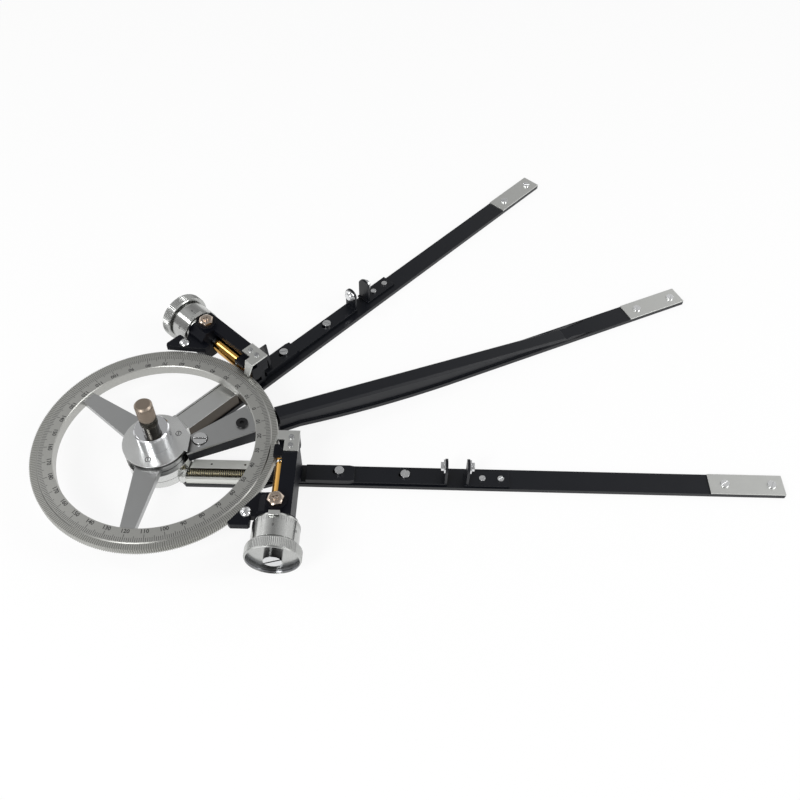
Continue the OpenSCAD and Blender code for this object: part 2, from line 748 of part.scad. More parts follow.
// threaded length of the worm: radius over a grid of turn and length, with a bored core
module thread_body(first) {
  cols = 20;
  rows = 6 * round((thread_y0 - thread_y1) / pitch);
  dy = (thread_y0 - thread_y1) / rows;
  out = [for (j = [0:rows], i = [0:cols - 1])
    let (y = thread_y1 + j * dy, a = 360 * i / cols,
      r = worm_r - tooth_h + tooth_h * (j == 0 || j == rows ? 0 : wave((y - first) / pitch - a / 360)))
    [worm_x - r * cos(a), y, worm_z + r * sin(a)]];
  bore = [for (j = [0, 1], i = [0:cols - 1])
    let (a = 360 * i / cols, r = (shaft_r + 0.03) / cos(180 / cols))
    [worm_x - r * cos(a), j == 0 ? thread_y1 : thread_y0, worm_z + r * sin(a)]];
  m = (rows + 1) * cols;
  skin = [for (j = [0:rows - 1], i = [0:cols - 1])
    let (a = j * cols + i, b = j * cols + (i + 1) % cols)
    for (h = [0, 1]) h == 0 ? [a, b, b + cols] : [a, b + cols, a + cols]];
  core = [for (i = [0:cols - 1]) let (a = m + i, b = m + (i + 1) % cols)
    for (h = [0, 1]) h == 0 ? [a, b + cols, b] : [a, a + cols, b + cols]];
  low = [for (i = [0:cols - 1]) let (a = i, b = (i + 1) % cols, c = m + i, d = m + (i + 1) % cols)
    for (h = [0, 1]) h == 0 ? [a, d, b] : [a, c, d]];
  high = [for (i = [0:cols - 1])
    let (a = rows * cols + i, b = rows * cols + (i + 1) % cols,
      c = m + cols + i, d = m + cols + (i + 1) % cols)
    for (h = [0, 1]) h == 0 ? [a, b, d] : [a, d, c]];
  polyhedron(points = concat(out, bore), faces = concat(skin, core, low, high));
}

module drum_body() {
  translate([worm_x, drum_y, worm_z]) rotate([90, 0, 0]) difference() {
    rotate_extrude() polygon([[0, 0], [drum_r, 0], [drum_r, drum_l - 1.4], [drum_r - 2, drum_l - 1.4],
      [drum_r - 2, drum_l], [flange_r - 0.5, drum_l], [flange_r, drum_l + 0.5],
      [flange_r, drum_l + flange_l - 0.5], [flange_r - 0.5, drum_l + flange_l],
      [0, drum_l + flange_l]]);
    translate([0, 0, -1]) cylinder(r = shaft_r, h = drum_l + flange_l + 2);
    translate([0, 0, drum_l + flange_l - dish_d]) cylinder(r = flange_r - brim_t, h = 10);
  }
}

module drum_screw_body() {
  translate([worm_x, drum_end + dish_d, worm_z]) rotate([90, 0, 0]) rotate([0, 0, 25])
    screw(5.4, dish_d + screw_up, 1.2, 5.5, 1.2);
}

module limb() { color("#b9bab6") limb_body(); }
module toothed_rim() { color("#a9aaa7") rim_body(); }
module spider() { color("#a7a9ab") spider_body(); }
module hub_disc() { color("#b4b6b8") disc_body(); }
module hub_boss() { color("#d3d5d8") boss_body(); }
module hub_post() { color("#9b9da0") post_body(); }
module foot_flange() { color("#b4b6b8") foot_body(); }
module fixed_beam() { color("#1d1e22") beam_body(); }
module root_plate() { color("#a7a9ab") root_body(); }
module root_screw() { color("#cfd1d4") root_screw_body(); }
module root_bolt() { color("#1a1a1c") root_bolt_body(); }
module fixed_tip() { color("#b9bab6") tip_body(); }
module fixed_tip_screws() { color("#cfd1d4") tip_screws_body(); }
module pricker_pin() { color("#9b9da0") pricker_pin_body(); }
module pricker_knob() { color("#8d7f68") pricker_knob_body(); }
module pricker_spring() { color("#9b9da0") pricker_spring_body(); }

module right_bar() { color("#1d1e22") on_right() bar_body(right_line, mid); }
module right_collar() { color("#b4b6b8") on_right() collar_body(right_z, chan_near); }
module right_channel() {
  color("#b9bab6") on_right() channel_body(chan_near, right_z + collar_h - chan_low, 0);
}
module right_spring() { color("#a08a55") on_right() spring_body(chan_near, curls_near); }
module right_guide_screws() { color("#cfd1d4") on_right() guide_screws_body(mid); }
module right_stop() { color("#1d1e22") on_right() stop_body(right_line); }
module right_stop_screws() { color("#cfd1d4") on_right() stop_screws_body(right_line); }
module right_tip() { color("#b9bab6") on_right() tip_body(); }
module right_tip_screws() { color("#cfd1d4") on_right() tip_screws_body(); }
module right_slide() { color("#1d1e22") on_right() slide_body(right_line, mid); }
module right_housing() { color("#17181b") on_right() housing_body(); }
module right_wing() { color("#17181b") on_right() wing_body(); }
module right_wing_screw() { color("#cfd1d4") on_right() wing_screw_body(); }
module right_index() { color("#c4c5c1") on_right() index_body(); }
module right_index_screws() { color("#cfd1d4") on_right() index_screws_body(); }
module right_lock_nut() { color("#a5988a") on_right() lock_nut_body(); }
module right_drum_index() { color("#c4c5c1") on_right() drum_index_body(); }
module right_shaft() { color("#b4b6b8") on_right() shaft_body(); }
module right_worm() { color("#b5863a") on_right() worm_body(); }
module right_thread() { color("#b5863a") on_right() thread_body(start); }
module right_drum() { color("#c4c5c1") on_right() drum_body(); }
module right_drum_screw() { color("#cfd1d4") on_right() drum_screw_body(); }

module left_bar() { color("#1d1e22") on_left() bar_body(left_line, left_line); }
module left_collar() { color("#b4b6b8") on_left() collar_body(left_z, chan_x0); }
module left_channel() {
  color("#b9bab6") on_left() channel_body(chan_x0, left_z + collar_h - chan_low, 1.5);
}
module left_spring() { color("#a08a55") on_left() spring_body(chan_x0, curls); }
module left_guide_screws() { color("#cfd1d4") on_left() guide_screws_body(left_line); }
module left_stop() { color("#1d1e22") on_left() stop_body(left_line); }
module left_stop_screws() { color("#cfd1d4") on_left() stop_screws_body(left_line); }
module left_tip() { color("#b9bab6") on_left() tip_body(); }
module left_tip_screws() { color("#cfd1d4") on_left() tip_screws_body(); }
module left_slide() {
  color("#1d1e22") on_left() union() {
    slide_body(left_line, left_line);
    fin_body();
  }
}
module left_housing() { color("#17181b") on_left() housing_body(); }
module left_wing() { color("#17181b") on_left() wing_body(); }
module left_wing_screw() { color("#cfd1d4") on_left() wing_screw_body(); }
module left_index() { color("#c4c5c1") on_left() index_body(); }
module left_index_screws() { color("#cfd1d4") on_left() index_screws_body(); }
module left_lock_nut() { color("#a5988a") on_left() lock_nut_body(); }
module left_drum_index() { color("#c4c5c1") on_left() drum_index_body(); }
module left_shaft() { color("#b4b6b8") on_left() shaft_body(); }
module left_worm() { color("#b5863a") on_left() worm_body(); }
module left_thread() { color("#b5863a") on_left() thread_body(start_l); }
module left_drum() { color("#c4c5c1") on_left() drum_body(); }
module left_drum_screw() { color("#cfd1d4") on_left() drum_screw_body(); }

limb();
toothed_rim();
spider();
hub_disc();
hub_boss();
hub_post();
foot_flange();
fixed_beam();
root_plate();
root_screw();
root_bolt();
fixed_tip();
fixed_tip_screws();
pricker_pin();
pricker_knob();
pricker_spring();
right_bar();
right_collar();
right_channel();
right_spring();
right_guide_screws();
right_stop();
right_stop_screws();
right_tip();
right_tip_screws();
right_slide();
right_housing();
right_wing();
right_wing_screw();
right_index();
right_index_screws();
right_lock_nut();
right_drum_index();
right_shaft();
right_worm();
right_thread();
right_drum();
right_drum_screw();
left_bar();
left_collar();
left_channel();
left_spring();
left_guide_screws();
left_stop();
left_stop_screws();
left_tip();
left_tip_screws();
left_slide();
left_housing();
left_wing();
left_wing_screw();
left_index();
left_index_screws();
left_lock_nut();
left_drum_index();
left_shaft();
left_worm();
left_thread();
left_drum();
left_drum_screw();
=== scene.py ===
import json
import math

import bmesh
import bpy
import numpy as np
from mathutils import Matrix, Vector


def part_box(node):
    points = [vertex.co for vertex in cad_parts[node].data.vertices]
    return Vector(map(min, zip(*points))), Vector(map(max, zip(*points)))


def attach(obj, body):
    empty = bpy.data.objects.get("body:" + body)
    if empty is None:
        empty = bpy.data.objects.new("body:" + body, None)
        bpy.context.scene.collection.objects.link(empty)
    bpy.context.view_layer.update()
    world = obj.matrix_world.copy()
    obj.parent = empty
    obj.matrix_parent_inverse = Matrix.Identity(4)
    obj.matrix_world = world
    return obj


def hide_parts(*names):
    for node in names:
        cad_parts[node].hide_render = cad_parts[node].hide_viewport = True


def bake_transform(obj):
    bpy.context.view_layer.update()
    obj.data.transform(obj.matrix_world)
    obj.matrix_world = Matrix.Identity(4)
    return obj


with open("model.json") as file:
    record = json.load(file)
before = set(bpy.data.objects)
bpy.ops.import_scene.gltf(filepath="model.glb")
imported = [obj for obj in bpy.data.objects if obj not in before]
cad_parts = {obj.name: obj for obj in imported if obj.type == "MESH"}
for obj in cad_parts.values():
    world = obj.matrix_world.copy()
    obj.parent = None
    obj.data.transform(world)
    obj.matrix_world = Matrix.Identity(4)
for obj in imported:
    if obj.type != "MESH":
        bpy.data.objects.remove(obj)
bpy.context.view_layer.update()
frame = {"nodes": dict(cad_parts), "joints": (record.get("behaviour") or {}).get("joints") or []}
nodes = frame["nodes"]
joints = {joint["name"]: joint for joint in frame["joints"]}
mm = 0.001
upright = (0, 0, 1)
print("frame loaded:", len(nodes), "nodes")


# small tools for shapes

def ringFaces(rings, sides, closed):
    # quads between neighbouring rings of points; closed also joins the last ring to the first
    i, j = np.meshgrid(np.arange(rings if closed else rings - 1), np.arange(sides), indexing="ij")
    here, there = i * sides, (i + 1) % rings * sides
    ahead = (j + 1) % sides
    return np.stack([here + j, here + ahead, there + ahead, there + j], -1).reshape(-1, 4)


def tubeFaces(rings, sides):
    # the wall between rings of points, and a flat face at both ends
    first = list(range(sides))
    last = [(rings - 1) * sides + k for k in first]
    return ringFaces(rings, sides, closed=False).tolist() + [first[::-1], last]


def makePiece(name, points, faces, material, body, smooth=True):
    # a closed mesh at the origin, faces turned outwards, that rides on a body of the frame,
    # or on none if no body is given
    mesh = bpy.data.meshes.new(name)
    mesh.from_pydata(np.asarray(points).reshape(-1, 3).tolist(), [], [list(f) for f in faces])
    mesh.validate()
    shell = bmesh.new()
    shell.from_mesh(mesh)
    bmesh.ops.recalc_face_normals(shell, faces=shell.faces)
    shell.to_mesh(mesh)
    shell.free()
    mesh.polygons.foreach_set("use_smooth", np.full(len(mesh.polygons), smooth))
    mesh.materials.append(material)
    piece = bpy.data.objects.new(name, mesh)
    bpy.context.scene.collection.objects.link(piece)
    if body:
        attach(piece, body)
    return piece


def armWay(side):
    # direction of an arm over the chart, and 1 for the right arm, -1 for its mirror image
    return np.array(joints[side + "_lift"]["axis"][:2]), 1 if side == "right" else -1


def armPlace(points, side):
    # points of the arm's own frame, reading edge along x and body towards -y, put where the
    # arm lies; the left arm is the mirror image of the right one
    out, hand = armWay(side)
    points = np.asarray(points, float)
    x, y = points[..., 0], hand * points[..., 1]
    return np.stack([x * out[0] - y * out[1], x * out[1] + y * out[0], points[..., 2]], -1)


def armBox(node, side):
    # lowest and highest corner of a node in the arm's own frame
    out, hand = armWay(side)
    mesh = nodes[node].data
    points = np.empty(len(mesh.vertices) * 3)
    mesh.vertices.foreach_get("co", points)
    x, y, z = points.reshape(-1, 3).T
    local = np.stack([x * out[0] + y * out[1], hand * (y * out[0] - x * out[1]), z], -1)
    return local.min(0), local.max(0)


def turnUpright(points, turn):
    # points turned about the upright axis, by one angle or by one for each row
    x, y = points[..., 0], points[..., 1]
    return np.stack([x * np.cos(turn) - y * np.sin(turn), x * np.sin(turn) + y * np.cos(turn),
                     points[..., 2]], -1)


def triangleWave(turns):
    # 1 at each whole turn, 0 halfway between two
    return np.abs(2 * (turns % 1) - 1)


def joinArrays(parts):
    # several (points, faces) pairs as one
    points, faces, first = [], [], 0
    for somePoints, someFaces in parts:
        points.append(somePoints)
        faces += [[first + k for k in face] for face in someFaces]
        first += len(somePoints)
    return np.concatenate(points), faces


def boxFaces(count):
    # the six sides of each of count boxes with eight corners: x low/high, then y, then z
    sides = np.array([[0, 1, 3, 2], [4, 6, 7, 5], [0, 4, 5, 1],
                      [2, 3, 7, 6], [0, 2, 6, 4], [1, 5, 7, 3]])
    return (np.arange(count)[:, None, None] * 8 + sides).reshape(-1, 4)


def boxCorners(x0, x1, y0, y1, z0, z1):
    # corners of many boxes at once, each edge value a number or an array
    edges = np.broadcast_arrays(*[np.asarray(v, float) for v in (x0, x1, y0, y1, z0, z1)])
    corners = [np.stack([edges[i], edges[2 + j], edges[4 + k]], -1)
               for i in (0, 1) for j in (0, 1) for k in (0, 1)]
    return np.stack(corners, -2)


def lathe(along, radius, centre, axis, sides=64, hollow=False):
    # a profile turned about an axis: a ring of points for each distance along it and radius;
    # a hollow one joins its last ring to its first, any other has a flat face at both ends
    axis = np.asarray(axis, float)
    aside = (1, 0, 0) if abs(axis[2]) > 0.9 else upright     # any direction well off the axis
    across = np.cross(axis, aside)
    across /= np.linalg.norm(across)
    turn = np.linspace(0, 2 * np.pi, sides, endpoint=False)[:, None]
    ring = np.cos(turn) * across + np.sin(turn) * np.cross(axis, across)
    rise = np.asarray(along)[:, None, None] * axis
    points = np.asarray(centre) + rise + np.asarray(radius)[:, None, None] * ring
    if hollow:
        faces = ringFaces(len(along), sides, closed=True).tolist()
    else:
        faces = tubeFaces(len(along), sides)
    return points.reshape(-1, 3), faces


def turnedRing(start, end, inner, outer, centre, axis, sides=64):
    # a ring of square section about an axis
    return lathe([start, start, end, end], [inner, outer, outer, inner], centre, axis, sides,
                 hollow=True)


digits = {
    "stroke": 40,               # size over the amount by which the strokes are thickened
    "curveSteps": 3,
}


def digitArrays(label, size, depth):
    # a number as a closed, flat relief: x to the right, y up, centred
    curve = bpy.data.curves.new("digits", "FONT")
    curve.body = label
    curve.size = size
    curve.align_x = "CENTER"
    curve.align_y = "CENTER"
    curve.extrude = depth / 2
    curve.offset = size / digits["stroke"]
    curve.resolution_u = digits["curveSteps"]
    holder = bpy.data.objects.new("digits", curve)
    bpy.context.scene.collection.objects.link(holder)
    bpy.context.view_layer.update()
    graph = bpy.context.evaluated_depsgraph_get()
    mesh = bpy.data.meshes.new_from_object(holder.evaluated_get(graph))
    points = np.array([v.co for v in mesh.vertices])
    faces = [list(p.vertices) for p in mesh.polygons]
    bpy.data.objects.remove(holder)
    bpy.data.curves.remove(curve)
    bpy.data.meshes.remove(mesh)
    return points, faces


# small tools for shaders

def toLinear(hexText):
    # sRGB hex to linear, with the usual two-part curve
    value = np.array([int(hexText[i:i + 2], 16) for i in (1, 3, 5)]) / 255
    low = value / 12.92
    high = ((value + 0.055) / 1.055) ** 2.4
    return (*np.where(value <= 0.04045, low, high).tolist(), 1.0)


def addNode(tree, kind, inputs=None, **settings):
    # one shader node, its settings, and its sockets as numbers or links
    node = tree.nodes.new("ShaderNode" + kind)
    for name, value in settings.items():
        setattr(node, name, value)
    for name, value in (inputs or {}).items():
        if isinstance(value, bpy.types.NodeSocket):
            tree.links.new(value, node.inputs[name])
        else:
            node.inputs[name].default_value = value
    return node


def maths(tree, operation, *values, kind="Math", output="Value"):
    # one step of reckoning on numbers, vectors or sockets
    return addNode(tree, kind, dict(enumerate(values)), operation=operation).outputs[output]


def ramp(tree, value, low, high, toLow=0.0, toHigh=1.0):
    # the stretch of a value from low to high carried over to another, and held at its ends
    return addNode(tree, "MapRange", {"Value": value, "From Min": low, "From Max": high,
                                      "To Min": toLow, "To Max": toHigh}).outputs["Result"]


def noise(tree, place, size, detail):
    # cloudy noise from 0 to 1, in patches of about that size
    cloud = addNode(tree, "TexNoise", {"Vector": place, "Scale": 1 / size, "Detail": detail})
    return cloud.outputs["Fac"]


def newMaterial(name):
    material = bpy.data.materials.new(name)
    material.use_nodes = True
    tree = material.node_tree
    return material, tree, tree.nodes["Principled BSDF"]


# materials

surface = {
    "relief": 0.02 * mm,        # height of grain, grooves and orange peel
    "edgeSamples": 4,
    "metalPatch": 6 * mm,       # size of the patches in which roughness drifts
    "enamelPatch": 9 * mm,
    "enamelDrift": 0.07,        # of the roughness, either way
    "leastRoughness": 0.03,
    "peel": 0.7 * mm,           # size and strength of the orange peel
    "peelStrength": 0.12,
    # colour of the painted shade and reflection on the sides of the left cover
    "paintedShadeColour": "#4b4640",
    "darkEdgeLevel": 0.62,              # brightness left at the darker outer edge
    "fade": 0.1 * mm,           # half the width of the step to a zone painted dark or to a darker edge
    "paintedShadeFade": 0.05 * mm,     # and to one painted dark as painted shade
    "speck": 0.5 * mm,          # size of the specks on turned metal
    "speckNoise": (0.3, 0.7),   # this stretch of the noise becomes this brightness
    "speckShade": (0.86, 1.08),
    "acrossGrooves": 0.25,      # of a turn
    "wax": (0.012, 0.05),       # darkest and lightest grey of the wax
    "waxPatch": 1.5 * mm,
    "waxRoughness": 0.65,
}


def fineRelief(tree, bsdf, height, strength, edgeMm):
    # a relief on a surface whose edges have the small radius of machined or painted ones
    edge = addNode(tree, "Bevel", {"Radius": edgeMm * mm}, samples=surface["edgeSamples"])
    bump = addNode(tree, "Bump", {"Height": height, "Strength": strength,
                                  "Distance": surface["relief"], "Normal": edge.outputs["Normal"]})
    tree.links.new(bump.outputs["Normal"], bsdf.inputs["Normal"])


def metal(name, colour, roughness, grainMm, grain, edgeMm=0.25, patchy=0.06, paintedDarkBelow=None):
    # plated or polished metal: a fine grain in the surface, and a roughness that drifts a little;
    # below a given height its colour is painted brown and dark: painted shade and reflection
    s = surface
    material, tree, bsdf = newMaterial(name)
    place = addNode(tree, "TexCoord").outputs["Object"]
    bsdf.inputs["Base Color"].default_value = toLinear(colour)
    bsdf.inputs["Metallic"].default_value = 1.0
    # painted shade and reflection: brown and dark below the given height
    if paintedDarkBelow is not None:
        height = addNode(tree, "SeparateXYZ", {0: place}).outputs["Z"]
        bright = ramp(tree, height, paintedDarkBelow - s["fade"], paintedDarkBelow + s["fade"])
        shade = addNode(tree, "MixRGB", {0: bright, 1: toLinear(s["paintedShadeColour"]),
                                         2: toLinear(colour)})
        tree.links.new(shade.outputs["Color"], bsdf.inputs["Base Color"])
    drift = noise(tree, place, s["metalPatch"], detail=3.0)
    smoothest = max(s["leastRoughness"], roughness - patchy)
    tree.links.new(ramp(tree, drift, 0, 1, smoothest, roughness + patchy),
                   bsdf.inputs["Roughness"])
    fineRelief(tree, bsdf, noise(tree, place, grainMm * mm, detail=2.0), grain, edgeMm)
    return material


def turned(name, colour, roughness, centre, axis, grooveMm, depth, streak, edgeMm=0.2,
           paintedShadeBelow=None, black=0.06, darkerFrom=None):
    # metal off a lathe: grooves about an axis, too fine to count, that draw the highlights out
    # across them; below a given distance along the axis its colour is painted dark, as painted
    # shade, and beyond a given radius it is darker
    s = surface
    material, tree, bsdf = newMaterial(name)
    place = addNode(tree, "TexCoord").outputs["Object"]
    arm = maths(tree, "SUBTRACT", place, tuple(centre), kind="VectorMath", output="Vector")
    around = maths(tree, "CROSS_PRODUCT", tuple(axis), arm, kind="VectorMath", output="Vector")
    radius = maths(tree, "LENGTH", around, kind="VectorMath")
    along = maths(tree, "DOT_PRODUCT", arm, tuple(axis), kind="VectorMath")
    groove = maths(tree, "MULTIPLY", maths(tree, "ADD", radius, along), 1 / (grooveMm * mm))
    rings = addNode(tree, "TexNoise", {"W": groove, "Scale": 1.0, "Detail": 2.0},
                    noise_dimensions="1D")
    speck = noise(tree, place, s["speck"], detail=4.0)
    tint = ramp(tree, speck, *s["speckNoise"], *s["speckShade"])
    # painted shade: darker below the given distance along the axis
    if paintedShadeBelow is not None:
        edge = ramp(tree, along, paintedShadeBelow - s["paintedShadeFade"], paintedShadeBelow + s["paintedShadeFade"], black)
        tint = maths(tree, "MULTIPLY", edge, tint)
    # darker beyond the given radius
    if darkerFrom is not None:
        darkEdge = ramp(tree, radius, darkerFrom - s["fade"], darkerFrom + s["fade"], 1.0, s["darkEdgeLevel"])
        tint = maths(tree, "MULTIPLY", darkEdge, tint)
    shade = addNode(tree, "VectorMath", {0: toLinear(colour)[:3], "Scale": tint},
                    operation="SCALE")
    tree.links.new(shade.outputs["Vector"], bsdf.inputs["Base Color"])
    tree.links.new(around, bsdf.inputs["Tangent"])
    bsdf.inputs["Metallic"].default_value = 1.0
    bsdf.inputs["Roughness"].default_value = roughness
    bsdf.inputs["Anisotropic"].default_value = streak
    bsdf.inputs["Anisotropic Rotation"].default_value = s["acrossGrooves"]
    fineRelief(tree, bsdf, rings.outputs["Fac"], depth, edgeMm)
    return material


def enamel(name, colour, roughness, edgeMm, index=1.4):
    # stoved enamel: a thin skin with a faint orange peel, bright where an edge turns to the light
    s = surface
    material, tree, bsdf = newMaterial(name)
    place = addNode(tree, "TexCoord").outputs["Object"]
    bsdf.inputs["Base Color"].default_value = toLinear(colour)
    bsdf.inputs["IOR"].default_value = index
    drift = noise(tree, place, s["enamelPatch"], detail=3.0)
    tree.links.new(ramp(tree, drift, 0, 1, roughness - s["enamelDrift"],
                        roughness + s["enamelDrift"]), bsdf.inputs["Roughness"])
    fineRelief(tree, bsdf, noise(tree, place, s["peel"], detail=1.0), s["peelStrength"], edgeMm)
    return material


def scaleInk():
    # black wax rubbed into the engraved lines: dull and even; the same black is also painted
    # shade in the rings and slots of the hub's screws
    material, tree, bsdf = newMaterial("engraving_wax_and_painted_shade")
    place = addNode(tree, "TexCoord").outputs["Object"]
    worn = noise(tree, place, surface["waxPatch"], detail=2.0)
    grey = ramp(tree, worn, 0, 1, *surface["wax"])
    shade = addNode(tree, "CombineColor", {0: grey, 1: grey, 2: grey})
    tree.links.new(shade.outputs["Color"], bsdf.inputs["Base Color"])
    bsdf.inputs["Roughness"].default_value = surface["waxRoughness"]
    return material


zones = {
    "limbDarkEdge": 0.75 * mm,       # width of the darker outer edge of the circle
    "discFace": 0.5 * mm,       # the disc's side is painted dark below this depth, as painted shade,
    "coverFace": 0.4 * mm,      # the left cover painted dark below this one (painted shade and reflection),
    "screwFace": 0.3 * mm,      # and a drum's end screw, side and slot, painted dark beyond this from its face (painted shade)
}
hubAxis = {"centre": (0, 0, 0), "axis": upright}
ringCut = {**hubAxis, "grooveMm": 0.35, "depth": 0.3, "streak": 0.3, "edgeMm": 0.1}
ringSilver = turned("silver_plate_turned", "#b9b9b5", 0.36, **ringCut)
limbSilver = turned("silver_plate_graduated", "#b9b9b5", 0.36, **ringCut,
                    darkerFrom=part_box("limb")[1].x - zones["limbDarkEdge"])
# the disc's side is painted dark: painted shade under the disc's edge
discSilver = turned("silver_plate_faced", "#dcdddc", 0.3, **hubAxis, grooveMm=0.3, depth=0.3,
                    streak=0.6, paintedShadeBelow=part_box("hub_disc")[1].z - zones["discFace"])
bossSteel = turned("steel_turned_polished", "#dadbdd", 0.13, **hubAxis, grooveMm=0.4, depth=0.1,
                   streak=0.5)
collarSilver = turned("silver_plate_polished", "#d6d7d5", 0.18, **hubAxis, grooveMm=0.4,
                      depth=0.15, streak=0.5)
satinSilver = metal("silver_plate_satin", "#d2d3d0", 0.33, grainMm=0.25, grain=0.25)
spokeSilver = metal("silver_plate_brushed", "#aeafaf", 0.32, grainMm=0.3, grain=0.2)
frostedSilver = metal("silver_plate_frosted", "#e4e5e1", 0.7, grainMm=0.3, grain=0.2)
# painted shade and reflection: the left cover's sides are painted brown and dark below its top
coverSilver = metal("silver_plate_painted_dark_sides", "#c4c5c4", 0.36, grainMm=0.3, grain=0.2,
                    paintedDarkBelow=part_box("left_channel")[1].z - zones["coverFace"])
knurlSilver = metal("silver_plate_knurled", "#bfc0be", 0.24, grainMm=0.3, grain=0.12,
                    edgeMm=0.1, patchy=0.05)
polishedSteel = metal("steel_polished", "#e2e3e4", 0.1, grainMm=0.5, grain=0.05,
                      edgeMm=0.2, patchy=0.03)
# painted reflection: polished steel painted darker, for the wall of each flange's dish
dishPaintedReflection = metal("steel_painted_dark_reflection", "#7c7d80", 0.1, grainMm=0.4, grain=0.05,
                  edgeMm=0.1, patchy=0.04)
groundSteel = metal("steel_ground", "#b9babb", 0.24, grainMm=0.2, grain=0.2)
screwSteel = metal("steel_slotted_dull", "#b4b5b6", 0.3, grainMm=0.3, grain=0.1,
                   edgeMm=0.2, patchy=0.04)
# painted shade: dark steel for the gaps between the teeth
toothGapShade = metal("steel_painted_gap_shade", "#75756f", 0.4, grainMm=0.3, grain=0.2, edgeMm=0.05)
oiledSteel = metal("steel_oil_blackened", "#3a3833", 0.2, grainMm=0.3, grain=0.2, edgeMm=0.15)
# painted shade: dark brown for the walls of the lower arm's spring groove and its holes
grooveShadeBrown = metal("steel_painted_groove_shade", "#4a443a", 0.4, grainMm=0.3, grain=0.2, edgeMm=0.05)
wormBrass = metal("brass_polished", "#c0944e", 0.1, grainMm=0.4, grain=0.06,
                  edgeMm=0.15, patchy=0.03)
springBrass = metal("spring_wire_drawn", "#aaa286", 0.3, grainMm=0.2, grain=0.1, edgeMm=0.05)
agedBronze = metal("bronze_aged", "#93877b", 0.4, grainMm=0.3, grain=0.2,
                   edgeMm=0.15, patchy=0.08)
nutBronze = metal("bronze_nickelled", "#bfb0a2", 0.22, grainMm=0.3, grain=0.1, edgeMm=0.3)
blackEnamel = enamel("enamel_satin_black", "#080b12", 0.36, edgeMm=0.35)
housingEnamel = enamel("enamel_deep_black", "#090b12", 0.45, edgeMm=0.3, index=1.25)
blackScrew = enamel("steel_blackened", "#131315", 0.28, edgeMm=0.2)
waxAndShade = scaleInk()

drumSilver, drumBolt = {}, {}
for side in ("right", "left"):
    low, high = armBox(side + "_drum", side)
    middle = (low + high) / 2
    drumAxis = {"centre": armPlace(middle, side).tolist(),
                "axis": armPlace([0, -1, 0], side).tolist()}
    drumSilver[side] = turned("silver_plate_streaked_" + side, "#bcbdbb", 0.2, **drumAxis,
                              grooveMm=0.3, depth=0.15, streak=0.7)
    # painted shade and reflection: each drum's end screw is painted dark behind its front face
    face = armBox(side + "_drum_screw", side)[0][1]
    drumBolt[side] = turned("steel_faced_" + side, "#dfe0e1", 0.22, **drumAxis, grooveMm=0.4,
                            depth=0.1, streak=0.3, black=0.1,
                            paintedShadeBelow=middle[1] - face - zones["screwFace"])

# by the name of a node, or by what follows right_ or left_ in it; any other is polished steel
finishes = {
    "limb": limbSilver, "toothed_rim": ringSilver, "spider": spokeSilver,
    "hub_disc": discSilver, "hub_boss": bossSteel, "hub_post": groundSteel,
    "foot_flange": collarSilver,
    "fixed_beam": blackEnamel, "root_plate": spokeSilver, "root_bolt": blackScrew,
    "fixed_tip": satinSilver,
    "pricker_pin": groundSteel, "pricker_knob": agedBronze, "pricker_spring": springBrass,
    "bar": blackEnamel, "collar": collarSilver, "spring": springBrass, "stop": blackEnamel,
    "tip": satinSilver, "slide": blackEnamel, "housing": housingEnamel, "wing": housingEnamel,
    "index": satinSilver, "index_screws": screwSteel, "lock_nut": nutBronze,
    "drum_index": satinSilver, "worm": wormBrass, "thread": wormBrass,
    "right_drum": drumSilver["right"], "left_drum": drumSilver["left"],
    "right_drum_screw": drumBolt["right"], "left_drum_screw": drumBolt["left"],
    "right_channel": frostedSilver, "left_channel": coverSilver,
}
for name, node in nodes.items():
    kind = name.split("_", 1)[1] if name.startswith(("right_", "left_")) else name
    node.data.materials.clear()
    node.data.materials.append(finishes.get(name) or finishes.get(kind, polishedSteel))
print("finishes on", len(nodes), "nodes")


# graduated circle: lines at the outer edge of the face, numbers inside them

circleScale = {
    "lines": 360,
    "lineEnd": 70.0 * mm,       # outer end of every line
    "one": 2.6 * mm,            # lengths, by what the line counts
    "five": 3.6 * mm,
    "ten": 4.8 * mm,
    "lineWidth": 0.3 * mm,      # wider than the real cut, so that it shows
    "numberRadius": 63.3 * mm,
    "numberSize": 3.5 * mm,
    "relief": 0.02 * mm,
    "gapLength": 3.8 * mm,      # of the dark line between two teeth, from the tooth tips inwards
    "gapDepth": 0.6 * mm,
    "gapWidth": 0.35 * mm,
}


def lineLengths(count, scale):
    # longer at each five and ten
    number = np.arange(count)
    fives = np.where(number % 5 == 0, scale["five"], scale["one"])
    return np.where(number % 10 == 0, scale["ten"], fives)


def circleLines():
    # one thin box for each degree, turned about the hub axis
    s = circleScale
    half = s["lineWidth"] / 2
    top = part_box("limb")[1].z
    corners = boxCorners(s["lineEnd"] - lineLengths(s["lines"], s), s["lineEnd"], -half, half,
                         top - s["relief"], top + s["relief"])
    placed = turnUpright(corners, np.radians(np.arange(s["lines"]))[:, None])
    makePiece("circle_lines", placed, boxFaces(s["lines"]), waxAndShade, "frame",
              smooth=False)


def circleNumbers():
    # each ten degrees, counted both ways from the fixed arm, tops towards the hub
    s = circleScale
    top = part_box("limb")[1].z
    parts = []
    for degree in range(-170, 181, 10):
        points, faces = digitArrays(str(abs(degree)), s["numberSize"], 2 * s["relief"])
        flat = np.stack([s["numberRadius"] - points[:, 1], points[:, 0], points[:, 2] + top], -1)
        parts.append((turnUpright(flat, math.radians(degree)), faces))
    points, faces = joinArrays(parts)
    makePiece("circle_numbers", points, faces, waxAndShade, "frame", smooth=False)


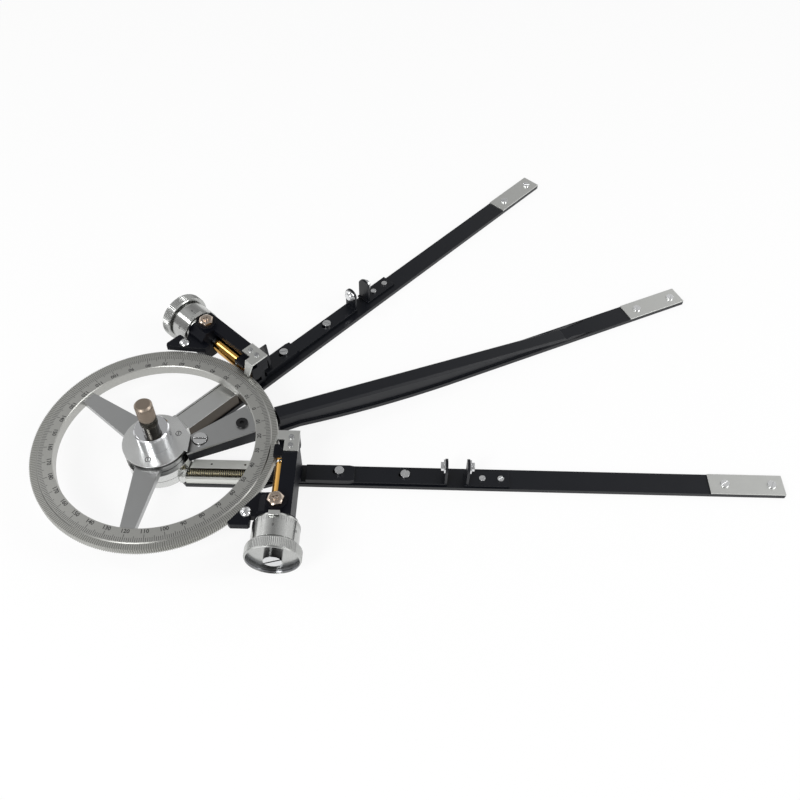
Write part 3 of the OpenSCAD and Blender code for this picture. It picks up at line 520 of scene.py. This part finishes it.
def toothGaps():
    # painted shade: a dark strip in the gap between each two teeth and on the rim above it
    s = circleScale
    low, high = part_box("toothed_rim")
    half = np.full(s["lines"], s["gapWidth"] / 2)
    corners = boxCorners(high.x - s["gapLength"], high.x - s["gapDepth"], -half, half,
                         low.z + s["relief"], high.z + s["relief"])
    placed = turnUpright(corners, np.radians(np.arange(s["lines"]) + 0.5)[:, None])
    makePiece("tooth_gaps", placed, boxFaces(s["lines"]), toothGapShade, "frame",
              smooth=False)


circleLines()
circleNumbers()
toothGaps()
print("circle graduated")


# press knob of the pricker

knob = {
    "stemRadius": 4.9 * mm,
    "radius": 5.3 * mm,
    "height": 18 * mm,
    "waist": 5.4 * mm,          # height of the groove between its two knurled bands
    "waistWidth": 1.6 * mm,
    "waistDepth": 0.7 * mm,
    "shoulder": 0.2 * mm,       # height of the step from the stem
    "lowerEdge": 0.6 * mm,      # sizes of the two bevels
    "upperEdge": 1.1 * mm,
    "knurlFrom": 1.0 * mm,      # from the lower end
    "knurlTo": 2 * mm,          # from the upper end
    "ridges": 26,
    "depth": 0.4 * mm,
    "cut": 0.5,                 # share of the wave above which it cuts
    "rows": (24, 5, 34),        # of points on lower band, waist and upper band
    "ridgePoints": 8,
}


def pressKnob():
    # a turned profile with two bands cut by crossing spirals of V grooves:
    # radius less the depth times the larger of the two triangle waves
    k = knob
    low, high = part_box("pricker_knob")
    seat = high.z - k["height"]
    half = k["waistWidth"] / 2
    lower = np.linspace(k["knurlFrom"], k["waist"] - half, k["rows"][0])
    upper = np.linspace(k["waist"] + half, k["height"] - k["knurlTo"], k["rows"][2])
    neck = np.linspace(lower[-1], upper[0], k["rows"][1])[1:-1]
    foot = [low.z, seat - k["shoulder"], seat, seat + k["lowerEdge"]]
    height = np.concatenate([foot, seat + lower, seat + neck, seat + upper,
                             [high.z - k["upperEdge"], high.z]])
    rows = [len(foot), len(lower), len(neck), len(upper), 2]
    dip = np.repeat([0, 0, k["waistDepth"], 0, 0], rows)
    knurled = np.repeat([0, 1, 0, 1, 0], rows)
    radius = np.full(len(height), k["radius"]) - dip
    radius[:3] = k["stemRadius"], k["stemRadius"], k["radius"] - k["lowerEdge"]
    radius[-1] = k["radius"] - k["upperEdge"]
    turn = np.linspace(0, 2 * np.pi, k["ridges"] * k["ridgePoints"], endpoint=False)
    spiral = k["ridges"] * turn[None, :] / (2 * np.pi)
    climb = k["ridges"] * (height[:, None] - seat) / (2 * np.pi * k["radius"])
    wave = np.maximum(triangleWave(spiral + climb), triangleWave(spiral - climb))
    groove = (wave - k["cut"]).clip(0) / (1 - k["cut"])
    r = radius[:, None] - k["depth"] * knurled[:, None] * groove
    points = np.stack([r * np.cos(turn), r * np.sin(turn),
                       np.broadcast_to(height[:, None], r.shape)], -1)
    faces = tubeFaces(len(height), len(turn))
    piece = makePiece("press_knob", points, faces, oiledSteel, "pricker", smooth=False)
    piece.data.materials.append(agedBronze)
    # dark up to the waist, bronze above it, and so the two end faces
    bronze = np.arange(len(height) - 1) >= len(foot) + len(lower)
    shades = np.concatenate([np.repeat(bronze.astype(np.int32), len(turn)), [0, 1]])
    piece.data.polygons.foreach_set("material_index", shades)
    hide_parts("pricker_knob")


pressKnob()
print("press knob knurled")


# hub: painted shade in the rings and slots of its screws and in the groove of the lower arm

hub = {
    "screwAngles": (-122, -2, 118),
    "screwReach": 0.72,         # of the disc's radius
    "screwInner": 1.42 * mm,    # of the groove round each disc screw
    "screwOuter": 1.88 * mm,
    "ringDepth": 0.3 * mm,
    "slotLength": 2.2 * mm,
    "slotWidth": 0.5 * mm,
    "slotTurn": 62,             # degrees
    "rootInner": 4.4 * mm,      # ring round the root screw
    "rootOuter": 4.95 * mm,
    "rootSlot": (8.4 * mm, 0.98 * mm),
    "rootTurn": -25,            # degrees
    "holes": (14.5 * mm, 35.5 * mm),    # from the hub end of the channel
    "holeSide": -4.2 * mm,
    "holeRadius": 0.68 * mm,
    "holeFill": (-0.78 * mm, -0.2 * mm),    # from the top of the channel
    "grooveSides": (-14.1 * mm, -7.4 * mm),
    "grooveFloor": 4.0 * mm,
    "grooveStart": 1.6 * mm,    # from the hub end of the channel
    "grooveEnd": 8.0 * mm,      # from its other end
    "cleanTop": 0.3 * mm,       # of the groove's walls
    "skin": 0.05 * mm,
}


def slotFill(length, width, degrees, centre):
    # a flat strip at the floor of a screw's slot, turned about the upright axis
    strip = boxCorners(-length / 2, length / 2, -width / 2, width / 2,
                       -hub["skin"], hub["skin"] / 2)
    return turnUpright(strip, math.radians(degrees)) + centre, boxFaces(1)


def discScrews():
    # painted shade: a dark-filled ring and slot for each screw of the disc and for the root screw
    h = hub
    low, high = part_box("hub_disc")
    reach = -low.x * h["screwReach"]
    parts = []
    for angle in np.radians(h["screwAngles"]):
        centre = [reach * np.cos(angle), reach * np.sin(angle), high.z]
        parts.append(turnedRing(-h["ringDepth"], -h["skin"], h["screwInner"], h["screwOuter"],
                                centre, upright, sides=32))
        parts.append(slotFill(h["slotLength"], h["slotWidth"], h["slotTurn"], centre))
    low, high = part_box("root_screw")
    x, y = (low.x + high.x) / 2, (low.y + high.y) / 2
    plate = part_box("root_plate")[1].z
    parts.append(slotFill(*h["rootSlot"], h["rootTurn"], [x, y, (plate + high.z) / 2]))
    parts.append(turnedRing(-h["skin"], h["skin"], h["rootInner"], h["rootOuter"],
                            [x, y, plate], upright, sides=48))
    points, faces = joinArrays(parts)
    makePiece("hub_screw_rings", points, faces, waxAndShade, "frame", smooth=False)


def grooveDirt():
    # painted shade: a dark skin on both walls of the lower arm's spring groove,
    # and in the two holes beside it
    h = hub
    low, high = armBox("right_channel", "right")
    near, far = h["grooveSides"]
    skins = boxCorners(low[0] + h["grooveStart"], high[0] - h["grooveEnd"],
                       [near, far - h["skin"]], [near + h["skin"], far],
                       h["grooveFloor"] - h["skin"] / 2, high[2] - h["cleanTop"])
    parts = [(skins.reshape(-1, 3), boxFaces(2))]
    for hole in h["holes"]:
        parts.append(lathe(h["holeFill"], [h["holeRadius"]] * 2,
                           [low[0] + hole, h["holeSide"], high[2]], upright, sides=24))
    points, faces = joinArrays(parts)
    makePiece("groove_painted_shade", armPlace(points, "right"), faces, grooveShadeBrown, "right_arm",
              smooth=False)


discScrews()
grooveDirt()
print("hub lined")


# drums on both arms: sixty lines, six numbers, a straight knurl on the flange, and a dark
# lining in its dish, a painted reflection

drumScale = {
    "lines": 60,
    "radius": 14 * mm,
    "length": 14.5 * mm,        # from the housing end to the flange
    "lineStart": 0.3 * mm,      # from the housing end
    "one": 2.4 * mm,            # lengths, by what the line counts
    "five": 3.6 * mm,
    "ten": 4.8 * mm,
    "lineWidth": 0.16 * mm,
    "numberSize": 2.3 * mm,
    "numberGap": 1.6 * mm,      # from the longest lines to the middle of the numbers
    "relief": 0.02 * mm,
    "ridges": 88,
    "ridgePoints": 4,
    "ridgeDepth": 0.45 * mm,
    "ridgeSunk": 0.35,          # share of its depth that lies inside the flange
    "knurlFrom": 0.7 * mm,      # from the flange's two ends
    "knurlTo": 0.8 * mm,
    "knurlEdge": 0.25 * mm,
    "knurlRoot": 0.6 * mm,      # depth of the band inside the flange
    "dishRadius": 15.4 * mm,
    "dishDepth": 3.4 * mm,
    "liningThickness": 0.1 * mm,
    "brim": 0.5 * mm,
}


def drumPlace(turn, along, radius, side):
    # a point of the drum by angle from the top, distance from its housing end, and radius
    low, high = armBox(side + "_drum", side)
    middle = (low + high) / 2
    turn, along, radius = np.broadcast_arrays(turn, along, radius)
    return armPlace(np.stack([middle[0] + radius * np.sin(turn), high[1] - along,
                              middle[2] + radius * np.cos(turn)], -1), side)


def drumLines(side):
    # thin boxes along the drum, longer at each five and ten
    d = drumScale
    half = d["lineWidth"] / 2 / d["radius"]
    turn = np.radians(360 / d["lines"] * np.arange(d["lines"]))
    corners = boxCorners(turn - half, turn + half,
                         d["lineStart"], d["lineStart"] + lineLengths(d["lines"], d),
                         d["radius"] - d["relief"], d["radius"] + d["relief"])
    placed = drumPlace(corners[..., 0], corners[..., 1], corners[..., 2], side)
    makePiece(side + "_drum_lines", placed, boxFaces(d["lines"]), waxAndShade, side + "_worm_drum",
              smooth=False)


def drumNumbers(side):
    # every ten minutes, bent round the drum, tops towards the housing
    d = drumScale
    hand = armWay(side)[1]
    middle = d["lineStart"] + d["ten"] + d["numberGap"]
    parts = []
    for number in range(0, d["lines"], 10):
        points, faces = digitArrays(str(number), d["numberSize"], 2 * d["relief"])
        turn = math.radians(360 / d["lines"] * number) + hand * points[:, 0] / d["radius"]
        placed = drumPlace(turn, middle - points[:, 1], d["radius"] + points[:, 2], side)
        parts.append((placed, faces))
    points, faces = joinArrays(parts)
    makePiece(side + "_drum_numbers", points, faces, waxAndShade, side + "_worm_drum",
              smooth=False)


def flangeKnurl(side):
    # a closed band round the flange whose outer radius is a triangle wave of the angle
    d = drumScale
    low, high = armBox(side + "_drum", side)
    rim = (high[0] - low[0]) / 2
    start, end = d["length"] + d["knurlFrom"], high[1] - low[1] - d["knurlTo"]
    turn = np.linspace(0, 2 * np.pi, d["ridges"] * d["ridgePoints"], endpoint=False)
    wave = triangleWave(d["ridges"] * turn / (2 * np.pi))
    crest = rim + d["ridgeDepth"] * (wave - d["ridgeSunk"])
    deep = np.full_like(crest, rim - d["knurlRoot"])
    along = np.array([start, start + d["knurlEdge"], end - d["knurlEdge"], end])
    radius = np.stack([deep, crest, crest, deep])
    placed = drumPlace(turn[None, :], along[:, None], radius, side)
    faces = ringFaces(len(along), len(turn), closed=True)
    makePiece(side + "_flange_knurl", placed, faces, knurlSilver, side + "_worm_drum",
              smooth=False)


def dishLining(side):
    # the polished wall of the flange's dish, painted dark as a painted reflection: a thin ring
    # that lies on it, short of the brim
    d = drumScale
    low, high = armBox(side + "_drum", side)
    middle = (low + high) / 2
    inner = d["dishRadius"] - d["liningThickness"]
    outer = d["dishRadius"] + d["liningThickness"] / 2
    points, faces = turnedRing(d["dishDepth"], d["brim"], inner, outer,
                               [middle[0], low[1], middle[2]], [0, 1, 0], sides=96)
    makePiece(side + "_dish_lining", armPlace(points, side), faces, dishPaintedReflection,
              side + "_worm_drum")


# worms: a true thread in place of the plain one, and a polished collar where it ends

thread = {
    "pitch": 75 * mm * math.pi / 180,   # one degree of the circle over the teeth
    "radius": 5.5 * mm,
    "depth": 0.8 * mm,
    "shaft": 2.5 * mm,
    "rows": 150,
    "sides": 64,
    "collarRadius": 5.65 * mm,
    "collarFrom": 0.4 * mm,     # from the end of the thread, to either side
    "collarTo": 1.0 * mm,
}


def wormThread(side):
    # radius is a triangle wave of length less turn, so the ridge climbs one pitch a turn
    t = thread
    low, high = armBox(side + "_thread", side)
    axis = (low + high) / 2
    along = np.linspace(low[1], high[1], t["rows"])
    turn = np.linspace(0, 2 * np.pi, t["sides"], endpoint=False)
    root = t["radius"] - t["depth"]
    wave = triangleWave(along[:, None] / t["pitch"] - turn[None, :] / (2 * np.pi))
    radius = root + t["depth"] * wave
    radius[[0, -1]] = root
    bore = np.full((1, len(turn)), t["shaft"])
    radius = np.concatenate([bore, radius, bore])
    along = np.concatenate([[low[1]], along, [high[1]]])
    x = axis[0] - radius * np.cos(turn)
    z = axis[2] + radius * np.sin(turn)
    placed = armPlace(np.stack([x, np.broadcast_to(along[:, None], x.shape), z], -1), side)
    faces = ringFaces(len(along), len(turn), closed=True)
    piece = makePiece(side + "_worm_thread", placed, faces, wormBrass, side + "_worm_drum")
    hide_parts(side + "_thread")


def wormCollar(side):
    # a plain ring round the worm: bore, outside and two flat ends
    t = thread
    low, high = armBox(side + "_thread", side)
    middle = (low + high) / 2
    points, faces = turnedRing(t["collarFrom"], -t["collarTo"], t["shaft"], t["collarRadius"],
                               [middle[0], low[1], middle[2]], [0, 1, 0])
    makePiece(side + "_worm_collar", armPlace(points, side), faces, polishedSteel,
              side + "_worm_drum", smooth=False)


# springs: one along each arm, one under the press knob

spring = {
    "radius": 1.7 * mm,
    "wire": 0.4 * mm,           # half its thickness
    "wireSides": 10,
    "curls": {"right": 29, "left": 25},
    "curlPoints": 18,
    "lead": 0.88 * mm,          # straight end of the wire
    "windIn": 0.75,             # curls over which it winds in to the axis
    "pressCurls": 6,
    "slant": (0.13, 0.31, 1.0),     # a direction that no wire takes, to start its sections from
}


def wireAlong(path):
    # a round section carried along a path, each ring square to it
    s = spring
    ahead = np.gradient(path, axis=0)
    ahead /= np.linalg.norm(ahead, axis=1, keepdims=True)
    across = np.cross(ahead, s["slant"])
    across /= np.linalg.norm(across, axis=1, keepdims=True)
    up = np.cross(ahead, across)
    turn = np.linspace(0, 2 * np.pi, s["wireSides"], endpoint=False)[None, :, None]
    ring = np.cos(turn) * across[:, None] + np.sin(turn) * up[:, None]
    return path[:, None] + s["wire"] * ring, tubeFaces(len(path), s["wireSides"])


def returnSpring(side):
    # a helix of even lead along the arm that winds in to its axis at both ends
    s = spring
    low, high = armBox(side + "_spring", side)
    middle = (low + high) / 2
    curls = s["curls"][side]
    curl = np.linspace(0, curls, curls * s["curlPoints"] + 1)
    grow = (np.minimum(curl, curls - curl) / s["windIn"]).clip(0, 1)
    radius = s["radius"] * grow ** 2 * (3 - 2 * grow)
    x = low[0] + s["lead"] + (high[0] - low[0] - 2 * s["lead"]) * curl / curls
    coil = np.stack([x, middle[1] + radius * np.cos(2 * np.pi * curl),
                     middle[2] + radius * np.sin(2 * np.pi * curl)], -1)
    ends = np.array([[low[0], middle[1], middle[2]], [high[0], middle[1], middle[2]]])
    path = armPlace(np.concatenate([ends[:1], coil, ends[1:]]), side)
    rings, faces = wireAlong(path)
    piece = makePiece(side + "_return_spring", rings, faces, springBrass, None)
    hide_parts(side + "_spring")
    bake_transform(piece)


def pressSpring():
    # an open helix of even lead round the pricker's pin
    s = spring
    low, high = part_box("pricker_spring")
    curl = np.linspace(0, s["pressCurls"], s["pressCurls"] * s["curlPoints"] + 1)
    radius = high.x - s["wire"]
    rise = high.z - low.z - 2 * s["wire"]
    path = np.stack([radius * np.cos(2 * np.pi * curl), radius * np.sin(2 * np.pi * curl),
                     low.z + s["wire"] + rise * curl / s["pressCurls"]], -1)
    rings, faces = wireAlong(path)
    piece = makePiece("press_spring", rings, faces, groundSteel, None)
    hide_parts("pricker_spring")
    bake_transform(piece)


# finger tabs: bright skins on their buttons

buttons = {
    "tabThickness": 1.6 * mm,
    "stopFace": 2.6 * mm,       # from the hub end of the stop plate to the face with the button
    "fromTop": 4.9 * mm,        # of the tab to the button's axis
    "base": 4.46 * mm,          # radius and height of its two steps, a little over the black ones
    "rise": 1.06 * mm,
    "cap": 2.86 * mm,
    "height": 2.86 * mm,
    "edge": 0.25 * mm,
    "sunk": 0.05 * mm,          # depth in the tab
}


def buttonCovers(side):
    # the bright stepped button on the outer face of each finger tab
    b = buttons
    low, high = armBox(side + "_stop", side)
    middle, height = (low[1] + high[1]) / 2, high[2] - b["fromTop"]
    along = [-b["sunk"], b["rise"] - b["edge"], b["rise"], b["rise"], b["height"] - b["edge"],
             b["height"]]
    radius = [b["base"], b["base"], b["base"] - b["edge"], b["cap"], b["cap"], b["cap"] - b["edge"]]
    slideFace = armBox(side + "_slide", side)[1][0] - b["tabThickness"]
    tabs = (("slide", "_release", slideFace, -1), ("stop", "_arm", low[0] + b["stopFace"], 1))
    for name, body, face, way in tabs:
        points, faces = lathe(along, radius, [face, middle, height], [way, 0, 0], sides=40)
        makePiece(side + "_" + name + "_button", armPlace(points, side), faces, polishedSteel,
                  side + body, smooth=False)


pressSpring()
for side in ("right", "left"):
    drumLines(side)
    drumNumbers(side)
    flangeKnurl(side)
    wormThread(side)
    returnSpring(side)
    buttonCovers(side)
    wormCollar(side)
    dishLining(side)
    print(side, "worm, drum, spring and tabs dressed")


# floor, light and camera

stage = {
    "floor": 30.0,
    "paper": (0.9, 0.9, 0.9, 1),
    "white": 1.0,
    "shadow": 0.13,             # how much of the floor's own shading the camera sees
    "ceiling": 0.36,            # brightness overhead
    "windows": 4,
    "bearing": 26.0,            # of the first window, in degrees
    "contrast": 0.7,            # of the windows against the walls between them
}


def paleFloor():
    # a wide white sheet: seen directly or in a reflection it is white, less a soft shadow
    half = stage["floor"] / 2
    corners = [(-half, -half, 0), (half, -half, 0), (half, half, 0), (-half, half, 0)]
    mesh = bpy.data.meshes.new("floor")
    mesh.from_pydata(corners, [], [(0, 1, 2, 3)])
    material, tree, bsdf = newMaterial("paper_white")
    bsdf.inputs["Base Color"].default_value = stage["paper"]
    bsdf.inputs["Roughness"].default_value = 1.0
    bsdf.inputs["Specular IOR Level"].default_value = 0.0
    path = addNode(tree, "LightPath").outputs
    seen = maths(tree, "MAXIMUM", path["Is Camera Ray"], path["Is Glossy Ray"])
    through = maths(tree, "MAXIMUM", seen, path["Is Transmission Ray"])
    share = maths(tree, "MULTIPLY", through, 1 - stage["shadow"])
    glow = addNode(tree, "Emission", {"Color": (1, 1, 1, 1), "Strength": stage["white"]})
    mixed = addNode(tree, "MixShader", {0: share, 1: bsdf.outputs["BSDF"],
                                        2: glow.outputs["Emission"]})
    tree.links.new(mixed.outputs["Shader"], tree.nodes["Material Output"].inputs["Surface"])
    mesh.materials.append(material)
    floor = bpy.data.objects.new("floor", mesh)
    bpy.context.scene.collection.objects.link(floor)


def studioSky():
    # a room with a grey ceiling and tall windows: white at the horizon, darker overhead, and a
    # cosine of the bearing that fades with the square of the height
    world = bpy.data.worlds.new("studio")
    bpy.context.scene.world = world
    world.use_nodes = True
    tree = world.node_tree
    tree.nodes.clear()
    count = stage["windows"]
    way = addNode(tree, "TexCoord").outputs["Generated"]
    parts = addNode(tree, "SeparateXYZ", {0: way}).outputs
    rise = ramp(tree, parts["Z"], 0, 1, 1.0, stage["ceiling"])
    bearing = maths(tree, "ARCTAN2", parts["Y"], parts["X"])
    beat = maths(tree, "MULTIPLY_ADD", bearing, count, -count * math.radians(stage["bearing"]))
    flat = maths(tree, "SUBTRACT", 1.0, maths(tree, "POWER", parts["Z"], 2.0))
    depth = maths(tree, "MULTIPLY", flat, stage["contrast"])
    swing = maths(tree, "MULTIPLY", maths(tree, "COSINE", beat), depth)
    level = maths(tree, "MULTIPLY_ADD", rise, swing, rise)
    camera = addNode(tree, "LightPath").outputs["Is Camera Ray"]
    shade = addNode(tree, "Mix", {0: camera, 2: level, 3: stage["white"]}, data_type="FLOAT")
    back = addNode(tree, "Background", {"Color": (1, 1, 1, 1), "Strength": shade.outputs[0]})
    addNode(tree, "OutputWorld", {"Surface": back.outputs["Background"]})


# soft round lamps: place, aim and diameter in metres, power in watts
lamps = {
    "key": {"place": (-0.6, -0.5, 0.8), "aim": (0.1, 0, 0.02), "size": 0.4, "power": 5.0},
    "fill": {"place": (0.9, -0.5, 0.7), "aim": (0.15, 0, 0.02), "size": 0.6, "power": 4.0},
    "streak": {"place": (-0.63, 0.44, 0.77), "aim": (0.07, 0.05, 0.02), "size": 0.25, "power": 1.5},
}


def pose(holder, right, up, back, place):
    # an object's own x, y and z directions, and its place
    turn = np.eye(4)
    turn[:3] = np.stack([right, up, back, place], 1)
    holder.matrix_world = Matrix(turn.tolist())


def softLamp(name, place, aim, size, power):
    lamp = bpy.data.lights.new(name, "AREA")
    lamp.shape = "DISK"
    lamp.size = size
    lamp.energy = power
    holder = bpy.data.objects.new(name, lamp)
    bpy.context.scene.collection.objects.link(holder)
    back = np.array(place) - np.array(aim)
    back /= np.linalg.norm(back)
    across = np.cross(upright, back)
    across /= np.linalg.norm(across)
    pose(holder, across, np.cross(back, across), back, place)


# camera of the photograph: place in metres, and its right, up and forward directions
viewpoint = {
    "place": (0.002611, -0.339339, 0.452275),
    "right": (0.90991, -0.41447, 0.01659),
    "up": (0.31413, 0.71466, 0.62497),
    "forward": (0.27088, 0.56346, -0.78047),
    "focalPixels": 853.19,
    "imagePixels": 800,
    "sensor": 36.0,
    "nearest": 0.01,
}


def photoCamera():
    v = viewpoint
    lens = bpy.data.cameras.new("camera")
    lens.sensor_width = v["sensor"]
    lens.sensor_height = v["sensor"]
    lens.lens = v["sensor"] * v["focalPixels"] / v["imagePixels"]
    lens.clip_start = v["nearest"]
    holder = bpy.data.objects.new("camera", lens)
    bpy.context.scene.collection.objects.link(holder)
    pose(holder, v["right"], v["up"], -np.array(v["forward"]), v["place"])
    bpy.context.scene.camera = holder


paleFloor()
studioSky()
for name, lamp in lamps.items():
    softLamp(name, **lamp)
photoCamera()
bpy.context.scene.view_settings.view_transform = "Standard"
print("stage lit")
